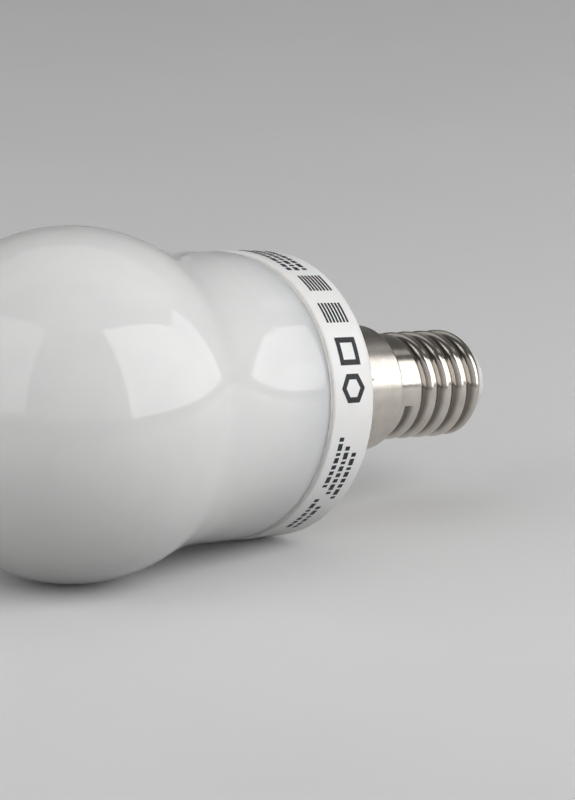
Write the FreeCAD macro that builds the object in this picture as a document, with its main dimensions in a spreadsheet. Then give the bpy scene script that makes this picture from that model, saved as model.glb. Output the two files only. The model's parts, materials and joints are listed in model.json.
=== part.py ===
"""Mini-globe energy saving lamp: opal glass globe, white ballast housing and E14 screw cap.

The lamp lies on its globe and on the rear rim of its collar, as it comes to rest on a table.
Every sub-part is turned about the lamp's axis, which is the Z axis of its own body: zero is the
globe's centre and plus points at the cap. The bodies then share one lying placement, in which
the floor is Z = 0 and the origin is under the middle of the lamp.
"""
import FreeCAD, Part
import math
import os
import Sketcher

# Driving dimensions in millimetres and degrees, one alias each
SIZES = {
    # opal glass
    "globe_diameter": 45.0,
    "waist_radius": 34.0,
    "waist_share": 0.95,
    "neck_diameter": 36.92,
    "neck_draft": 1.2,
    "mouth_reach": 28.45,
    "mouth_curve_length": 2.35,
    "mouth_curve_radius": 6.8,
    "mouth_wall": 1.4,
    "mouth_round": 0.15,
    # cement seam between the glass and the collar
    "seam_width": 0.2,
    "seam_setback": 0.12,
    # ballast housing
    "plug_length": 3.0,
    "plug_clearance": 0.1,
    "collar_overhang": 0.46,
    "collar_length": 8.0,
    "collar_draft": 1.7,
    "lip_round": 0.25,
    "rim_round": 1.3,
    "rim_inset": 2.2,
    "shoulder_length": 8.4,
    "seat_ledge": 0.5,
    "spigot_length": 6.5,
    "spigot_clearance": 0.05,
    # screw shell
    "skirt_diameter": 16.2,
    "skirt_length": 7.25,
    "skirt_wall": 0.4,
    "skirt_round": 0.4,
    "skirt_round_share": 0.85,
    "crest_diameter": 13.8,
    "crest_flat": 0.03,
    "root_diameter": 12.2,
    "thread_pitch": 2.822,
    "thread_length": 16.3,
    "groove_lead": 3.01,
    "groove_angle": 282.0,
    "shell_wall": 0.3,
    "end_round": 1.2,
    "end_bore": 10.0,
    "end_wall": 0.4,
    "stake_count": 8,
    "stake_angle": 246.5,
    "stake_offset": 1.2,
    "stake_radius": 2.6,
    "stake_depth": 0.25,
    # insulator and centre contact
    "insulator_clearance": 0.05,
    "flange_thickness": 1.5,
    "insulator_height": 3.0,
    "insulator_tip_diameter": 8.8,
    "insulator_round": 0.8,
    "contact_diameter": 5.2,
    "contact_height": 0.8,
    "shank_diameter": 2.4,
    "shank_clearance": 0.05,
}

# Values worked out from the driving dimensions, each from those above it
DERIVED = {
    "globe_radius": "sizes.globe_diameter / 2",
    # stations along the axis
    "mouth_curve_start": "sizes.mouth_reach - sizes.mouth_curve_length",
    "socket_floor": "sizes.mouth_reach - sizes.plug_length",
    "collar_front": "sizes.mouth_reach + sizes.seam_width",
    "plug_face": "stations.socket_floor + sizes.plug_clearance",
    "collar_rear": "stations.collar_front + sizes.collar_length",
    "cap_seat": "stations.collar_rear + sizes.shoulder_length",
    "spigot_end": "stations.cap_seat + sizes.spigot_length",
    "skirt_end": "stations.cap_seat + sizes.skirt_length",
    "step_inside": "stations.skirt_end - sizes.skirt_wall",
    "shell_end": "stations.skirt_end + sizes.thread_length",
    "end_inside": "stations.shell_end - sizes.end_wall",
    "flange_foot": "stations.end_inside - sizes.flange_thickness",
    "insulator_tip": "stations.shell_end + sizes.insulator_height",
    "contact_tip": "stations.insulator_tip + sizes.contact_height",
    # radii: the mouth's curve is tangent to the neck's taper
    "neck_radius": "sizes.neck_diameter / 2",
    "curve_run": "sizes.mouth_curve_length + sizes.mouth_curve_radius * sin(sizes.neck_draft)",
    "curve_centre": "stations.neck_radius - sizes.mouth_curve_radius * cos(sizes.neck_draft)",
    "mouth_radius": "stations.curve_centre + sqrt(sizes.mouth_curve_radius^2 - stations.curve_run^2)",
    "plug_socket": "stations.mouth_radius - sizes.mouth_wall",
    "plug_radius": "stations.plug_socket - sizes.plug_clearance",
    "seam_radius": "stations.mouth_radius - sizes.seam_setback",
    "collar_front_radius": "stations.mouth_radius + sizes.collar_overhang",
    "collar_rear_radius": "stations.collar_front_radius - sizes.collar_length * tan(sizes.collar_draft)",
    "shoulder_radius": "stations.collar_rear_radius - sizes.rim_inset",
    "skirt_radius": "sizes.skirt_diameter / 2",
    "seat_radius": "stations.skirt_radius + sizes.seat_ledge",
    "skirt_bore": "stations.skirt_radius - sizes.skirt_wall",
    "spigot_radius": "stations.skirt_bore - sizes.spigot_clearance",
    "crest_radius": "sizes.crest_diameter / 2",
    "root_radius": "sizes.root_diameter / 2",
    "skirt_step": "stations.skirt_radius - stations.crest_radius",
    "skirt_edge_round": "min(sizes.skirt_round; sizes.skirt_round_share * stations.skirt_step)",
    "shell_bore": "stations.root_radius - sizes.shell_wall",
    "end_bore_radius": "sizes.end_bore / 2",
    "flange_radius": "stations.shell_bore - sizes.insulator_clearance",
    "insulator_neck": "stations.end_bore_radius - sizes.insulator_clearance",
    "insulator_tip_radius": "sizes.insulator_tip_diameter / 2",
    "contact_radius": "sizes.contact_diameter / 2",
    "shank_radius": "sizes.shank_diameter / 2",
    "shank_bore": "stations.shank_radius + sizes.shank_clearance",
    "dome_radius": "(stations.contact_radius^2 + sizes.contact_height^2) / (2 * sizes.contact_height)",
    # corner where the neck's taper meets the globe
    "neck_offset": "stations.neck_radius * cos(sizes.neck_draft)"
                   " + stations.mouth_curve_start * sin(sizes.neck_draft)",
    "neck_along": "sqrt(stations.globe_radius^2 - stations.neck_offset^2)",
    "waist_radial": "stations.neck_offset * cos(sizes.neck_draft)"
                    " - stations.neck_along * sin(sizes.neck_draft)",
    "waist_axial": "stations.neck_offset * sin(sizes.neck_draft)"
                   " + stations.neck_along * cos(sizes.neck_draft)",
    # the waist's round ends within a share of the neck's straight run
    "neck_end": "stations.mouth_curve_start * cos(sizes.neck_draft)"
                " - stations.neck_radius * sin(sizes.neck_draft)",
    "waist_limit": "((sizes.waist_share * stations.neck_end)^2 - stations.neck_along^2)"
                   " / (2 * (stations.globe_radius - stations.neck_offset))",
    "waist_round": "min(sizes.waist_radius; stations.waist_limit)",
    # rolled thread: equal crest and root arcs that meet half way up the flank
    "crest_peak": "stations.crest_radius + sizes.crest_flat",
    "groove_depth": "stations.crest_peak - stations.root_radius",
    "half_pitch": "sizes.thread_pitch / 2",
    "thread_radius": "(stations.half_pitch^2 + stations.groove_depth^2) / (4 * stations.groove_depth)",
    "cutter_top": "stations.crest_peak - sizes.crest_flat / 2",
    "crest_half": "sqrt(stations.thread_radius * sizes.crest_flat - sizes.crest_flat^2 / 4)",
    "cutter_half": "stations.half_pitch - stations.crest_half",
    "flank_radius": "(stations.crest_peak + stations.root_radius) / 2",
    "groove_start": "stations.skirt_end + sizes.groove_lead",
    "groove_length": "stations.shell_end + sizes.thread_pitch - stations.groove_start",
    # staking dents
    "stake_centre": "stations.skirt_radius - sizes.stake_depth + sizes.stake_radius",
    "stake_station": "stations.cap_seat + sizes.stake_offset",
    # lying pose: the collar's rear rim is level with the globe's lowest point
    "rim_axial": "stations.collar_rear - sizes.rim_round",
    "rim_radial": "stations.collar_rear_radius - sizes.rim_round * tan(45 - sizes.collar_draft / 2)",
    "rim_drop": "asin((stations.globe_radius - sizes.rim_round)"
                " / sqrt(stations.rim_axial^2 + stations.rim_radial^2))",
    "tilt": "stations.rim_drop - atan(stations.rim_radial / stations.rim_axial)",
    "tip_reach": "(stations.contact_tip - stations.dome_radius) * cos(stations.tilt) + stations.dome_radius",
    "globe_place": "(stations.globe_radius - stations.tip_reach) / 2",
}
ANGLES = ("rim_drop", "tilt")

# Angle about the axis, from straight down, at which the turned outlines stand
ABOVE = "180"

doc = FreeCAD.newDocument("globe_lamp")


def make_sheet():
    """Puts the driving dimensions in a sheet, with the alias beside each number."""
    sheet = doc.addObject("Spreadsheet::Sheet", "sizes")
    for row, (alias, number) in enumerate(SIZES.items(), start=1):
        sheet.set(f"A{row}", alias)
        sheet.set(f"B{row}", str(number))
        sheet.setAlias(f"B{row}", alias)
    doc.recompute()


def make_stations():
    """Holds the derived values as properties that follow the sheet."""
    holder = doc.addObject("App::VarSet", "stations")
    for name, formula in DERIVED.items():
        kind = "App::PropertyAngle" if name in ANGLES else "App::PropertyFloat"
        holder.addProperty(kind, name)
        holder.setExpression(name, formula)
        doc.recompute()
    return holder


make_sheet()
stations = make_stations()


def value(formula):
    """The number that a formula gives with the present sizes."""
    return float(stations.evalExpression(formula))


def station(name):
    return f"stations.{name}"


def make_body(name):
    """A sub-part's body, lying in the lamp's rest pose."""
    body = doc.addObject("PartDesign::Body", name)
    body.Label = name
    body.Placement = FreeCAD.Placement(FreeCAD.Vector(), FreeCAD.Rotation(FreeCAD.Vector(0, 1, 0), 90))
    body.setExpression("Placement.Base.x", station("globe_place"))
    body.setExpression("Placement.Base.z", station("globe_radius"))
    body.setExpression("Placement.Rotation.Angle", "90 deg + stations.tilt")
    return body


def origin_feature(body, role):
    return next(item for item in body.Origin.OriginFeatures if item.Role == role)


def arc_between(start, finish, radius, side):
    """The shorter arc of a given radius that bulges to the left or right of its chord."""
    chord = finish - start
    across = FreeCAD.Vector(-chord.y, chord.x, 0).normalize()
    rise = radius - math.sqrt(radius**2 - chord.Length**2 / 4)
    middle = (start + finish) * 0.5 + (across * rise if side == "left" else across * -rise)
    return Part.Arc(start, middle, finish)


def tie(sketch, kind, places, formula):
    """Adds a dimension that follows a formula."""
    index = sketch.addConstraint(Sketcher.Constraint(kind, *places, value(formula)))
    sketch.setExpression(f"Constraints[{index}]", formula)


def draw(body, name, around, corners, arcs=None):
    """Draws a closed outline through the axis, at an angle around it, with the radius across.

    The corners are (radius, station) formulas. The edge that leaves a corner is straight, unless
    arcs gives its (radius, side) under the corner's number.
    """
    arcs = arcs or {}
    first_end, second_end = 1, 2
    origin, axis = (-1, 1), -2
    sketch = body.newObject("Sketcher::SketchObject", name)
    sketch.AttachmentSupport = [(origin_feature(body, "XZ_Plane"), "")]
    sketch.MapMode = "FlatFace"
    about_axis = FreeCAD.Rotation(FreeCAD.Vector(0, 1, 0), 90)
    sketch.AttachmentOffset = FreeCAD.Placement(FreeCAD.Vector(), about_axis)
    sketch.setExpression("AttachmentOffset.Rotation.Angle", f"{around} * 1 deg")
    spots = [FreeCAD.Vector(value(radial), value(axial), 0) for radial, axial in corners]
    ends = []
    for number, spot in enumerate(spots):
        following = spots[(number + 1) % len(spots)]
        if number not in arcs:
            curve = sketch.addGeometry(Part.LineSegment(spot, following))
            ends.append(((curve, first_end), (curve, second_end)))
            continue
        radius, side = arcs[number]
        curve = sketch.addGeometry(arc_between(spot, following, value(radius), side))
        tie(sketch, "Radius", (curve,), radius)
        # an arc bulging to the right of its chord runs counterclockwise, as a sketch keeps arcs
        left, reached = (first_end, second_end) if side == "right" else (second_end, first_end)
        ends.append(((curve, left), (curve, reached)))
    for (_, leaving), (arriving, _) in zip(ends, ends[1:] + ends[:1]):
        sketch.addConstraint(Sketcher.Constraint("Coincident", *leaving, *arriving))
    for (corner, _), (radial, axial) in zip(ends, corners):
        if radial == "0":
            sketch.addConstraint(Sketcher.Constraint("PointOnObject", *corner, axis))
        else:
            tie(sketch, "DistanceX", (*origin, *corner), radial)
        tie(sketch, "DistanceY", (*origin, *corner), axial)
    return sketch


def turn(body, name, corners, arcs=None):
    """Turns a closed outline about the lamp's axis."""
    sketch = draw(body, f"{name}_outline", ABOVE, corners, arcs)
    turned = body.newObject("PartDesign::Revolution", f"{name}_turned")
    turned.Profile = sketch
    turned.ReferenceAxis = (sketch, ["V_Axis"])
    turned.Angle = 360
    doc.recompute()
    return turned


def round_ring(body, name, radius, radial, axial):
    """Rounds the circular edge of the body at a radius and a station."""
    near = 1e-3
    feature = body.Tip
    found = []
    for number, edge in enumerate(feature.Shape.Edges, start=1):
        if edge.Degenerated or not isinstance(edge.Curve, Part.Circle):
            continue
        on_radius = abs(edge.Curve.Radius - value(radial)) < near
        on_station = abs(edge.Curve.Center.z - value(axial)) < near
        if on_radius and on_station:
            found.append(f"Edge{number}")
    fillet = body.newObject("PartDesign::Fillet", name)
    fillet.Base = (feature, found)
    fillet.setExpression("Radius", radius)
    doc.recompute()


def make_opal_bulb():
    """Globe, waist and tapered neck, blown as one piece, with a socket in its turned-in mouth."""
    body = make_body("opal_bulb")
    corners = [
        ("0", "-stations.globe_radius"),
        (station("waist_radial"), station("waist_axial")),
        (station("neck_radius"), station("mouth_curve_start")),
        (station("mouth_radius"), "sizes.mouth_reach"),
        (station("plug_socket"), "sizes.mouth_reach"),
        (station("plug_socket"), station("socket_floor")),
        ("0", station("socket_floor")),
    ]
    arcs = {0: (station("globe_radius"), "right"), 2: ("sizes.mouth_curve_radius", "right")}
    turn(body, "glass", corners, arcs)
    round_ring(body, "waist", station("waist_round"), station("waist_radial"), station("waist_axial"))
    round_ring(body, "mouth_edge", "sizes.mouth_round", station("mouth_radius"), "sizes.mouth_reach")
    return body


def make_cement_ring():
    """Thin ring of cement between the glass mouth and the collar's front face."""
    body = make_body("cement_ring")
    corners = [
        (station("plug_radius"), "sizes.mouth_reach"),
        (station("seam_radius"), "sizes.mouth_reach"),
        (station("seam_radius"), station("collar_front")),
        (station("plug_radius"), station("collar_front")),
    ]
    turn(body, "cement", corners)
    return body


def make_ballast_housing():
    """Closed moulding: plug in the glass, collar, shoulder and the spigot that carries the cap."""
    body = make_body("ballast_housing")
    corners = [
        ("0", station("plug_face")),
        (station("plug_radius"), station("plug_face")),
        (station("plug_radius"), station("collar_front")),
        (station("collar_front_radius"), station("collar_front")),
        (station("collar_rear_radius"), station("collar_rear")),
        (station("shoulder_radius"), station("collar_rear")),
        (station("seat_radius"), station("cap_seat")),
        (station("spigot_radius"), station("cap_seat")),
        (station("spigot_radius"), station("spigot_end")),
        ("0", station("spigot_end")),
    ]
    turn(body, "housing", corners)
    round_ring(body, "lip", "sizes.lip_round", station("collar_front_radius"), station("collar_front"))
    round_ring(body, "rim", "sizes.rim_round", station("collar_rear_radius"), station("collar_rear"))
    return body


def make_screw_shell():
    """Drawn shell: skirt over the spigot, rolled thread, rolled-in end and staking dents."""
    body = make_body("screw_shell")
    corners = [
        (station("skirt_bore"), station("cap_seat")),
        (station("skirt_radius"), station("cap_seat")),
        (station("skirt_radius"), station("skirt_end")),
        (station("crest_radius"), station("skirt_end")),
        (station("crest_radius"), station("shell_end")),
        (station("end_bore_radius"), station("shell_end")),
        (station("end_bore_radius"), station("end_inside")),
        (station("shell_bore"), station("end_inside")),
        (station("shell_bore"), station("step_inside")),
        (station("skirt_bore"), station("step_inside")),
    ]
    turn(body, "shell", corners)
    round_ring(body, "skirt_edge", station("skirt_edge_round"), station("skirt_radius"), station("skirt_end"))
    round_ring(body, "shell_edge", "sizes.end_round", station("crest_radius"), station("shell_end"))
    roll_thread(body)
    stake_skirt(body)
    return body


def roll_thread(body):
    """Cuts the groove between rounded crests, right-handed, from near the skirt past the end."""
    start = station("groove_start")
    corners = [
        (station("cutter_top"), f"{start} + stations.cutter_half"),
        (station("flank_radius"), f"{start} + stations.half_pitch / 2"),
        (station("flank_radius"), f"{start} - stations.half_pitch / 2"),
        (station("cutter_top"), f"{start} - stations.cutter_half"),
    ]
    arc = station("thread_radius")
    arcs = {0: (arc, "left"), 1: (arc, "right"), 2: (arc, "left")}
    sketch = draw(body, "groove_outline", "sizes.groove_angle", corners, arcs)
    groove = body.newObject("PartDesign::SubtractiveHelix", "thread_groove")
    groove.Profile = sketch
    groove.ReferenceAxis = (sketch, ["V_Axis"])
    groove.Mode = "pitch-height-angle"
    groove.setExpression("Pitch", "sizes.thread_pitch")
    groove.setExpression("Height", station("groove_length"))
    groove.HasBeenEdited = True
    doc.recompute()


def stake_skirt(body):
    """Punches the ring of shallow dents that hold the skirt on the spigot."""
    dent = body.newObject("PartDesign::SubtractiveSphere", "stake")
    dent.setExpression("Radius", "sizes.stake_radius")
    dent.setExpression("Placement.Base.x", "stations.stake_centre * cos(sizes.stake_angle)")
    dent.setExpression("Placement.Base.y", "stations.stake_centre * sin(sizes.stake_angle)")
    dent.setExpression("Placement.Base.z", station("stake_station"))
    doc.recompute()
    ring = body.newObject("PartDesign::PolarPattern", "stakes")
    ring.Originals = [dent]
    ring.Axis = (origin_feature(body, "Z_Axis"), [""])
    ring.Angle = 360
    ring.setExpression("Occurrences", "sizes.stake_count")
    body.Tip = ring
    doc.recompute()


def make_cap_insulator():
    """Button with a flange held behind the shell's rolled-in end, bored for the contact."""
    body = make_body("cap_insulator")
    corners = [
        (station("shank_bore"), station("flange_foot")),
        (station("flange_radius"), station("flange_foot")),
        (station("flange_radius"), station("end_inside")),
        (station("insulator_neck"), station("end_inside")),
        (station("insulator_neck"), station("shell_end")),
        (station("insulator_tip_radius"), station("insulator_tip")),
        (station("shank_bore"), station("insulator_tip")),
    ]
    turn(body, "insulator", corners)
    round_ring(body, "insulator_edge", "sizes.insulator_round",
               station("insulator_tip_radius"), station("insulator_tip"))
    return body


def make_centre_contact():
    """Domed rivet through the insulator."""
    body = make_body("centre_contact")
    corners = [
        ("0", station("flange_foot")),
        (station("shank_radius"), station("flange_foot")),
        (station("shank_radius"), station("insulator_tip")),
        (station("contact_radius"), station("insulator_tip")),
        ("0", station("contact_tip")),
    ]
    turn(body, "contact", corners, {3: (station("dome_radius"), "right")})
    return body


def write_parts(bodies):
    """Writes each sub-part, once the whole document is sound."""
    doc.recompute()
    for item in doc.Objects:
        faults = {"Invalid", "Error"}.intersection(item.State)
        if faults:
            raise RuntimeError(f"{item.Label} is {faults}")
    for body in bodies:
        if body.Shape.isNull() or not body.Shape.isValid():
            raise RuntimeError(f"{body.Label} has no valid shape")
    os.makedirs("parts", exist_ok=True)
    for body in bodies:
        body.Shape.exportStep(f"parts/{body.Label}.step")


write_parts([
    make_opal_bulb(),
    make_cement_ring(),
    make_ballast_housing(),
    make_screw_shell(),
    make_cap_insulator(),
    make_centre_contact(),
])
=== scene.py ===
"""Looks of the mini-globe energy saving lamp: opal glass, white plastic, nickel and plain print.

The lamp lies on a pale floor between soft boxes and is seen from in front of its globe.
"""

import itertools
import json
import math

import bmesh
import bpy
from mathutils import Matrix, Vector


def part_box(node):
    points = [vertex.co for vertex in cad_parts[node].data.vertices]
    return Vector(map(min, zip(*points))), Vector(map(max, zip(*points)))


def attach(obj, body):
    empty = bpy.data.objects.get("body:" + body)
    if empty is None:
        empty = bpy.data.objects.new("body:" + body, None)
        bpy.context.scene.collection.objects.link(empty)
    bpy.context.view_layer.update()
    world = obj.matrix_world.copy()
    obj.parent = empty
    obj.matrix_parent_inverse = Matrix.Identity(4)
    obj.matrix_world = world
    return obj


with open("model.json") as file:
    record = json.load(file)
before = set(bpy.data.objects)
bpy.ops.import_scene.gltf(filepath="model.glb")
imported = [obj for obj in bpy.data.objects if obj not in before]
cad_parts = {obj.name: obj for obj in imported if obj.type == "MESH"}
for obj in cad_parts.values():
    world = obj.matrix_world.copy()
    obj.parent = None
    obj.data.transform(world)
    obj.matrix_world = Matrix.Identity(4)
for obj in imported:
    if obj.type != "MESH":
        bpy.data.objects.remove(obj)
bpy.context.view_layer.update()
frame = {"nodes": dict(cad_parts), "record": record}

MM = 0.001

# The lamp's place in the frame: the globe's centre, and the axis from it towards the cap
globe_low, globe_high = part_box("opal_bulb")
GLOBE_RADIUS = (globe_high.y - globe_low.y) / 2
GLOBE_CENTRE = Vector((globe_low.x + GLOBE_RADIUS, 0, globe_low.z + GLOBE_RADIUS))
LAMP_AXIS = Vector(frame["record"]["mounts"][0]["axis"]).normalized()
NEAR = Vector((0, -1, 0))
LAMP_UP = NEAR.cross(LAMP_AXIS)

# The collar's printed face: its front edge, the radius there and its draft
COLLAR_FRONT = 28.65 * MM
COLLAR_RADIUS = 18.448 * MM
COLLAR_DRAFT = math.radians(1.7)

# The cap's radius at the bottom of its thread and on the thread's crests; the skirt is wider
THREAD_ROOT = 6.1 * MM
THREAD_CREST = 6.9 * MM

# The photograph's camera: its angles, its focal length in pixels and where the globe's centre lies
IMAGE_WIDTH = 575
IMAGE_HEIGHT = 800
FOCAL_PIXELS = 9480
GLOBE_PIXEL = (70.25, 404.71)
GLOBE_DEPTH = 1186.84 * MM
VIEW_AZIMUTH = math.radians(45.51)
VIEW_DOWN = math.radians(13.32)
# The longer side of its sensor in millimetres, and how near and far it sees in metres
SENSOR = 36.0
CLIP_START = 0.05
CLIP_END = 50

FORWARD = Vector((math.cos(VIEW_DOWN) * math.sin(VIEW_AZIMUTH),
                  math.cos(VIEW_DOWN) * math.cos(VIEW_AZIMUTH),
                  -math.sin(VIEW_DOWN)))
RIGHT = Vector((math.cos(VIEW_AZIMUTH), -math.sin(VIEW_AZIMUTH), 0))
UPWARD = RIGHT.cross(FORWARD)


def from_view(right, up, towards):
    """A vector given along the camera's right, its up and back towards it."""
    return RIGHT * right + UPWARD * up - FORWARD * towards


def add_camera():
    """Puts the camera where the photograph was taken from."""
    data = bpy.data.cameras.new("camera")
    data.sensor_width = SENSOR
    data.lens = FOCAL_PIXELS * SENSOR / IMAGE_HEIGHT
    data.clip_start = CLIP_START
    data.clip_end = CLIP_END
    across = (GLOBE_PIXEL[0] - IMAGE_WIDTH / 2) / FOCAL_PIXELS * GLOBE_DEPTH
    down = (GLOBE_PIXEL[1] - IMAGE_HEIGHT / 2) / FOCAL_PIXELS * GLOBE_DEPTH
    place = GLOBE_CENTRE + from_view(-across, down, GLOBE_DEPTH)
    camera = bpy.data.objects.new("camera", data)
    turn = Matrix((RIGHT, UPWARD, -FORWARD)).transposed().to_4x4()
    camera.matrix_world = Matrix.Translation(place) @ turn
    bpy.context.scene.collection.objects.link(camera)
    bpy.context.scene.camera = camera


# Light: a key box on the right, a strip beyond it that the cap mirrors, a fill on the left, and dim
# boxes in front and overhead. Each has a corner, in metres from the globe's centre along the camera's
# right, its up and back towards it, then the two edges from that corner, and its radiance.
SOFT_BOXES = {
    "key_box": ((0.191, -0.042, 0.228), (0.489, 0.098, -0.348), (0.004, 0.473, 0.140), 2.4),
    "strip_box": ((0.680, 0.056, -0.120), (-0.063, 0.058, -0.194), (0.004, 0.473, 0.140), 1.75),
    "fill_box": ((-0.532, 0.022, -0.082), (0.400, -0.049, 0.350), (0.041, 0.336, 0.001), 1.25),
    "front_box": ((-1.300, -0.250, 1.300), (2.600, 0.0, 0.0), (0.0, 1.000, 0.100), 0.48),
    "top_box": ((0.900, 0.878, -0.578), (-1.800, 0.0, 0.0), (0.0, 0.171, 0.648), 0.40),
}
# The room's radiance at some heights, from the horizon at 0 to overhead at 1
ROOM_LEVELS = ((0.0, 0.36), (0.10, 0.16), (0.60, 0.10))


def add_soft_box(name, corner, across, upward, radiance):
    """A rectangular lamp from a corner and two edges, all in the camera's directions."""
    across = from_view(*across)
    upward = from_view(*upward)
    x_axis = across.normalized()
    z_axis = across.cross(upward).normalized()
    y_axis = z_axis.cross(x_axis)
    data = bpy.data.lights.new(name, "AREA")
    data.shape = "RECTANGLE"
    data.size = across.length
    data.size_y = upward.length
    data.energy = radiance * math.pi * data.size * data.size_y
    lamp = bpy.data.objects.new(name, data)
    place = GLOBE_CENTRE + from_view(*corner) + (across + upward) / 2
    turn = Matrix((x_axis, y_axis, z_axis)).transposed().to_4x4()
    lamp.matrix_world = Matrix.Translation(place) @ turn
    bpy.context.scene.collection.objects.link(lamp)


def add_world():
    """A dim room that is paler at the floor's edge."""
    world = bpy.data.worlds.new("room")
    world.use_nodes = True
    bpy.context.scene.world = world
    nodes = world.node_tree.nodes
    links = world.node_tree.links
    place = nodes.new("ShaderNodeTexCoord")
    split = nodes.new("ShaderNodeSeparateXYZ")
    ramp = nodes.new("ShaderNodeValToRGB")
    stops = ramp.color_ramp.elements
    while len(stops) < len(ROOM_LEVELS):
        stops.new(1.0)
    for stop, (height, level) in zip(stops, ROOM_LEVELS):
        stop.position = height
        stop.color = (level, level, level, 1)
    links.new(place.outputs["Generated"], split.inputs["Vector"])
    links.new(split.outputs["Z"], ramp.inputs["Fac"])
    links.new(ramp.outputs["Color"], nodes["Background"].inputs["Color"])


# Most of a noise texture's values lie between these
NOISE_LOW = 0.3
NOISE_HIGH = 0.7


class Look:
    """A material with one principled shader, and short calls for the nodes that feed it."""

    def __init__(self, name):
        self.material = bpy.data.materials.new(name)
        self.material.use_nodes = True
        self.nodes = self.material.node_tree.nodes
        self.links = self.material.node_tree.links
        self.shader = self.nodes["Principled BSDF"]

    def set(self, **values):
        """Sets the shader's own sockets, with spaces in their names written as underscores."""
        for name, value in values.items():
            self.shader.inputs[name.replace("_", " ")].default_value = value

    def feed(self, socket, output):
        self.links.new(output, self.shader.inputs[socket])

    def lamp_coordinates(self, scale):
        """Position along the lamp's axis (x), far side (y) and up (z), each times its scale."""
        place = self.nodes.new("ShaderNodeTexCoord")
        mapping = self.nodes.new("ShaderNodeMapping")
        mapping.vector_type = "POINT"
        tilt = math.atan2(LAMP_AXIS.z, LAMP_AXIS.x)
        mapping.inputs["Rotation"].default_value = (0, tilt, 0)
        self.links.new(place.outputs["Object"], mapping.inputs["Vector"])
        stretch = self.nodes.new("ShaderNodeVectorMath")
        stretch.operation = "MULTIPLY"
        stretch.inputs[1].default_value = scale
        self.links.new(mapping.outputs["Vector"], stretch.inputs[0])
        return stretch.outputs["Vector"]

    def noise(self, scale, detail=2.0):
        """Smooth noise; scale is in cells a metre along the axis and across it."""
        texture = self.nodes.new("ShaderNodeTexNoise")
        texture.inputs["Scale"].default_value = 1.0
        texture.inputs["Detail"].default_value = detail
        self.links.new(self.lamp_coordinates(scale), texture.inputs["Vector"])
        return texture.outputs["Fac"]

    def between(self, value, low, high, start=NOISE_LOW, end=NOISE_HIGH):
        """A number that goes from low to high as a value, mostly a noise, goes from start to end."""
        mapped = self.nodes.new("ShaderNodeMapRange")
        mapped.inputs["From Min"].default_value = start
        mapped.inputs["From Max"].default_value = end
        mapped.inputs["To Min"].default_value = low
        mapped.inputs["To Max"].default_value = high
        self.links.new(value, mapped.inputs["Value"])
        return mapped.outputs["Result"]

    def mix(self, factor, first, second):
        """A colour between two, given as values or as outputs of nodes."""
        mix = self.nodes.new("ShaderNodeMix")
        mix.data_type = "RGBA"
        self.links.new(factor, mix.inputs["Factor"])
        for socket, colour in ((mix.inputs["A"], first), (mix.inputs["B"], second)):
            if isinstance(colour, tuple):
                socket.default_value = (*colour, 1)
            else:
                self.links.new(colour, socket)
        return mix.outputs["Result"]

    def blend(self, value, first, second):
        """A colour between two, chosen by a noise value."""
        return self.mix(self.between(value, 0, 1), first, second)

    def bump(self, value, depth):
        """Raises the surface by a noise value, up to a depth in metres."""
        bump = self.nodes.new("ShaderNodeBump")
        bump.inputs["Strength"].default_value = 1.0
        bump.inputs["Distance"].default_value = depth
        self.links.new(value, bump.inputs["Height"])
        self.links.new(bump.outputs["Normal"], self.shader.inputs["Normal"])

    def calculate(self, operation, first, second=None):
        """One operation on an output, with a number, another output or nothing more."""
        node = self.nodes.new("ShaderNodeMath")
        node.operation = operation
        self.links.new(first, node.inputs[0])
        if isinstance(second, float):
            node.inputs[1].default_value = second
        elif second is not None:
            self.links.new(second, node.inputs[1])
        return node.outputs["Value"]

    def axis_distance(self):
        """Distance from the lamp's axis in metres."""
        span = self.nodes.new("ShaderNodeVectorMath")
        span.operation = "DISTANCE"
        span.inputs[1].default_value = (0, 0, GLOBE_CENTRE.dot(LAMP_UP))
        self.links.new(self.lamp_coordinates((0, 1, 1)), span.inputs[0])
        return span.outputs["Value"]

    def brush_round(self, amount):
        """Stretches highlights as a finish brushed round the lamp's axis does."""
        tangent = self.nodes.new("ShaderNodeTangent")
        tangent.direction_type = "RADIAL"
        tangent.axis = "X"
        self.feed("Tangent", tangent.outputs["Tangent"])
        self.set(Anisotropic=amount)


def even(cells):
    """The scale of a noise that is as fine along the axis as across it."""
    return (cells, cells, cells)


def opal_glass():
    """Milky glass: white all through, with a clear gloss and the faint waves of blown glass."""
    look = Look("opal_glass")
    look.set(IOR=1.5, Subsurface_Weight=1.0, Subsurface_Scale=6.0 * MM)
    look.set(Subsurface_Radius=(1.0, 0.97, 0.92))
    cloud = look.noise(even(120))
    look.feed("Base Color", look.blend(cloud, (0.795, 0.797, 0.793), (0.825, 0.825, 0.815)))
    look.feed("Roughness", look.between(look.noise(even(400), 4), 0.045, 0.075))
    look.bump(look.noise(even(70), 1), 0.05 * MM)
    return look.material


def white_plastic():
    """Moulded white plastic with a satin skin."""
    look = Look("white_plastic")
    look.set(IOR=1.49, Subsurface_Weight=0.1, Subsurface_Scale=0.6 * MM)
    cloud = look.noise(even(250))
    look.feed("Base Color", look.blend(cloud, (0.865, 0.862, 0.85), (0.90, 0.897, 0.89)))
    look.feed("Roughness", look.between(look.noise(even(900), 4), 0.32, 0.42))
    look.bump(look.noise(even(2500), 3), 0.01 * MM)
    return look.material


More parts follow.
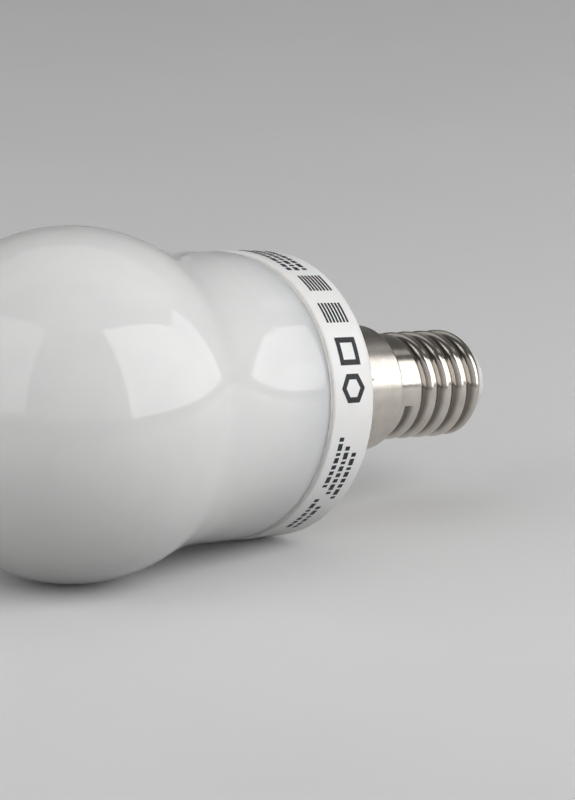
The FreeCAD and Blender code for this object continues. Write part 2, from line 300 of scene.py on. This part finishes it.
def nickel():
    """Nickel on drawn brass: painted shade deep in the thread's groove, satin on the skirt, with fine
    lines round it.
    """
    look = Look("nickel")
    look.set(Metallic=1.0)
    radius = look.axis_distance()
    plate = look.blend(look.noise(even(500), 4), (0.59, 0.545, 0.49), (0.69, 0.65, 0.60))
    # painted shade: the groove is darkened most within 0.12 mm of its bottom, and not at all 0.6 mm
    # from it
    height = look.calculate("ABSOLUTE", look.calculate("SUBTRACT", radius, THREAD_ROOT))
    groove_shade = look.between(height, 0.85, 0.0, 0.12 * MM, 0.6 * MM)
    look.feed("Base Color", look.mix(groove_shade, plate, (0.11, 0.092, 0.075)))
    polish = look.between(look.noise((6000, 250, 250), 3), 0.10, 0.17)
    # what lies farther out than the crests is the skirt, which is rougher
    satin = look.between(radius, 0.0, 0.09, THREAD_CREST + 0.1 * MM, THREAD_CREST + 0.5 * MM)
    look.feed("Roughness", look.calculate("ADD", polish, satin))
    look.bump(look.noise((8000, 120, 120), 3), 0.004 * MM)
    look.brush_round(0.5)
    return look.material


def insulator():
    """Pale grey moulding at the tip of the cap."""
    look = Look("insulator")
    look.set(IOR=1.5)
    cloud = look.noise(even(600))
    look.feed("Base Color", look.blend(cloud, (0.66, 0.655, 0.63), (0.74, 0.735, 0.715)))
    look.feed("Roughness", look.between(look.noise(even(1500), 4), 0.3, 0.45))
    look.bump(look.noise(even(3000), 3), 0.01 * MM)
    return look.material


def cement():
    """Thin line of beige cement."""
    look = Look("cement")
    grain = look.noise(even(900), 4)
    look.feed("Base Color", look.blend(grain, (0.76, 0.74, 0.68), (0.86, 0.845, 0.80)))
    look.feed("Roughness", look.between(look.noise(even(2000), 4), 0.75, 0.95))
    look.bump(look.noise(even(4000), 4), 0.03 * MM)
    return look.material


def contact():
    """Tinned contact with a dull bright face."""
    look = Look("contact")
    look.set(Metallic=1.0)
    grain = look.noise(even(900), 4)
    look.feed("Base Color", look.blend(grain, (0.55, 0.55, 0.54), (0.68, 0.67, 0.65)))
    look.feed("Roughness", look.between(look.noise(even(1200), 4), 0.25, 0.42))
    look.bump(look.noise(even(2500), 3), 0.01 * MM)
    return look.material


def print_ink():
    """Black pad-printed ink, a little uneven."""
    look = Look("print_ink")
    grain = look.noise(even(3000), 4)
    look.feed("Base Color", look.blend(grain, (0.016, 0.017, 0.022), (0.035, 0.036, 0.042)))
    look.set(Specular_IOR_Level=0.25)
    look.feed("Roughness", look.between(look.noise(even(2000), 3), 0.38, 0.55))
    return look.material


def pale_floor():
    """Plain pale sheet to the eye and in mirrors, which throws little light back up."""
    look = Look("pale_floor")
    tone = look.noise(even(30))
    seen = look.blend(tone, (0.79, 0.79, 0.79), (0.805, 0.805, 0.805))
    thrown = look.blend(tone, (0.24, 0.24, 0.24), (0.25, 0.25, 0.25))
    path = look.nodes.new("ShaderNodeLightPath")
    watched = path.outputs["Is Camera Ray"]
    for kind in ("Is Glossy Ray", "Is Transmission Ray"):
        watched = look.calculate("ADD", watched, path.outputs[kind])
    look.feed("Base Color", look.mix(watched, thrown, seen))
    look.feed("Roughness", look.between(look.noise(even(400)), 0.75, 0.85))
    return look.material


def dress_cad():
    """Gives each CAD node its finish."""
    finishes = {
        "opal_bulb": opal_glass(),
        "cement_ring": cement(),
        "ballast_housing": white_plastic(),
        "screw_shell": nickel(),
        "cap_insulator": insulator(),
        "centre_contact": contact(),
    }
    for node, finish in finishes.items():
        for slot in frame["nodes"][node].material_slots:
            slot.material = finish


# Print on the collar: rows of dashes, hatched fields and two line shapes, as thin slabs of ink

INK_LIFT = 0.02 * MM
INK_SINK = -0.02 * MM
ARC_STEP = math.radians(1.0)
LOOP_STEPS = 48
DASHES = (0.55 * MM, 0.95 * MM, 0.4 * MM, 0.75 * MM, 0.6 * MM)
DASH_GAP = 0.3 * MM
DASH_HEIGHT = 0.8 * MM
# top and bottom of each row in degrees up from the near side, and its station in millimetres
ROWS = (
    (97, 68, 30.5), (94, 67, 31.9), (91, 68, 33.3),
    (-8, -32, 30.7), (-12, -36, 32.2), (-15, -39, 33.7),
    (-37, -58, 30.9), (-42, -61, 32.4),
)
# centre of each hatched field
FIELDS = ((59.5, 32.6), (43.5, 32.2))
FIELD_LENGTH = 3.0 * MM
FIELD_LINES = 7
LINE_PITCH = 0.62 * MM
LINE_HEIGHT = 0.34 * MM
# centre of each line shape, and its corners: a square and a hexagon
SHAPES = ((26.5, 32.2, 4), (11.5, 32.2, 6))
SHAPE_SIZE = 3.7 * MM
SHAPE_STROKE = 0.72 * MM


def on_lamp(around, station, radius):
    """The point at an angle up from the near side, at a station on the axis and a radius from it."""
    outward = NEAR * math.cos(around) + LAMP_UP * math.sin(around)
    return GLOBE_CENTRE + LAMP_AXIS * station + outward * radius


def on_collar(around, station, lift):
    """The point of the collar's face at an angle and a station, lifted from it."""
    radius = COLLAR_RADIUS - (station - COLLAR_FRONT) * math.tan(COLLAR_DRAFT)
    return on_lamp(around, station, radius + lift)


def ink_between(mesh, first, second, closed=False):
    """A slab of ink between two lines of (angle, station) spots, which may be closed loops."""
    lines = ((first, INK_LIFT), (second, INK_LIFT), (second, INK_SINK), (first, INK_SINK))
    rails = [[mesh.verts.new(on_collar(*spot, lift)) for spot in line] for line, lift in lines]
    count = len(first)
    for here in range(count if closed else count - 1):
        there = (here + 1) % count
        for rail, beside in zip(rails, rails[1:] + rails[:1]):
            mesh.faces.new((rail[here], rail[there], beside[there], beside[here]))
    if not closed:
        mesh.faces.new([rail[0] for rail in rails])
        mesh.faces.new([rail[-1] for rail in rails])


def ink_bar(mesh, around, station, length, height):
    """A bar about a spot, with its length round the collar and its height along the axis."""
    span = length / COLLAR_RADIUS
    steps = math.ceil(span / ARC_STEP)
    turns = [around + span * (step / steps - 0.5) for step in range(steps + 1)]
    front = [(turn, station - height / 2) for turn in turns]
    rear = [(turn, station + height / 2) for turn in turns]
    ink_between(mesh, front, rear)


def ink_row(mesh, top, bottom, station):
    """A row of dashes round the collar, from its top down."""
    around = top
    for length in itertools.cycle(DASHES):
        span = length / COLLAR_RADIUS
        if around - span < bottom:
            break
        ink_bar(mesh, around - span / 2, station, length, DASH_HEIGHT)
        around -= span + DASH_GAP / COLLAR_RADIUS


def ink_field(mesh, around, station):
    """A field of fine lines round the collar."""
    for line in range(FIELD_LINES):
        offset = (line - (FIELD_LINES - 1) / 2) * LINE_PITCH
        ink_bar(mesh, around, station + offset, FIELD_LENGTH, LINE_HEIGHT)


def ink_loop(mesh, around, station, corners):
    """A closed line about a spot, with straight sides between its corners."""
    side = 2 * math.pi / corners
    loops = []
    for reach in (SHAPE_SIZE / 2, SHAPE_SIZE / 2 - SHAPE_STROKE):
        loop = []
        for step in range(LOOP_STEPS):
            turn = 2 * math.pi * step / LOOP_STEPS
            slant = (turn + side / 2) % side - side / 2
            arm = reach / math.cos(slant)
            loop.append((around + arm * math.cos(turn) / COLLAR_RADIUS, station + arm * math.sin(turn)))
        loops.append(loop)
    ink_between(mesh, *loops, closed=True)


def add_piece(name, mesh, look):
    """Turns a finished mesh into a piece that rides with the lamp."""
    bmesh.ops.recalc_face_normals(mesh, faces=mesh.faces)
    data = bpy.data.meshes.new(name)
    mesh.to_mesh(data)
    mesh.free()
    data.materials.append(look)
    piece = bpy.data.objects.new(name, data)
    bpy.context.scene.collection.objects.link(piece)
    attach(piece, "root")
    return piece


def add_print():
    """The print on the near side of the collar."""
    mesh = bmesh.new()
    for top, bottom, station in ROWS:
        ink_row(mesh, math.radians(top), math.radians(bottom), station * MM)
    for around, station in FIELDS:
        ink_field(mesh, math.radians(around), station * MM)
    for around, station, corners in SHAPES:
        ink_loop(mesh, math.radians(around), station * MM, corners)
    add_piece("collar_print", mesh, print_ink())


# Bead of cement squeezed out of the seam between the glass and the collar

BEAD_STATION = 28.5 * MM
BEAD_RADIUS = 17.93 * MM
BEAD_THICKNESS = 0.15 * MM
BEAD_STEPS = 540
BEAD_SIDES = 10
# lumps: how many go round, how high they are as a share of the bead, and where they start
LUMPS = ((5, 0.06, 0.4), (13, 0.07, 1.9), (31, 0.06, 4.1), (67, 0.05, 2.6))
# how many times those heights they reach at the lamp's sides; one less on top, one more underneath
LUMPS_AT_SIDES = 1.4


def add_bead():
    """A ring with a little unevenness, and more of it underneath."""
    mesh = bmesh.new()
    rings = []
    for step in range(BEAD_STEPS):
        around = 2 * math.pi * step / BEAD_STEPS
        lump = sum(height * math.sin(count * around + phase) for count, height, phase in LUMPS)
        thick = BEAD_THICKNESS * (1 + lump * (LUMPS_AT_SIDES - math.sin(around)))
        ring = []
        for side in range(BEAD_SIDES):
            turn = 2 * math.pi * side / BEAD_SIDES
            station = BEAD_STATION + thick * math.cos(turn)
            ring.append(mesh.verts.new(on_lamp(around, station, BEAD_RADIUS + thick * math.sin(turn))))
        rings.append(ring)
    for ring, after in zip(rings, rings[1:] + rings[:1]):
        for side in range(BEAD_SIDES):
            beside = (side + 1) % BEAD_SIDES
            mesh.faces.new((ring[side], ring[beside], after[beside], after[side]))
    for face in mesh.faces:
        face.smooth = True
    bead = add_piece("cement_bead", mesh, cement())


# Half the floor's width in metres
FLOOR_HALF = 6.0


def add_floor():
    """A flat square sheet under the lamp."""
    corners = ((-1, -1), (1, -1), (1, 1), (-1, 1))
    points = [(x * FLOOR_HALF, y * FLOOR_HALF, 0) for x, y in corners]
    mesh = bpy.data.meshes.new("floor")
    mesh.from_pydata(points, [], [(0, 1, 2, 3)])
    floor = bpy.data.objects.new("floor", mesh)
    mesh.materials.append(pale_floor())
    bpy.context.scene.collection.objects.link(floor)


bpy.context.scene.view_settings.view_transform = "Standard"
add_camera()
for box_name, box in SOFT_BOXES.items():
    add_soft_box(box_name, *box)
add_world()
add_floor()
dress_cad()
add_print()
add_bead()
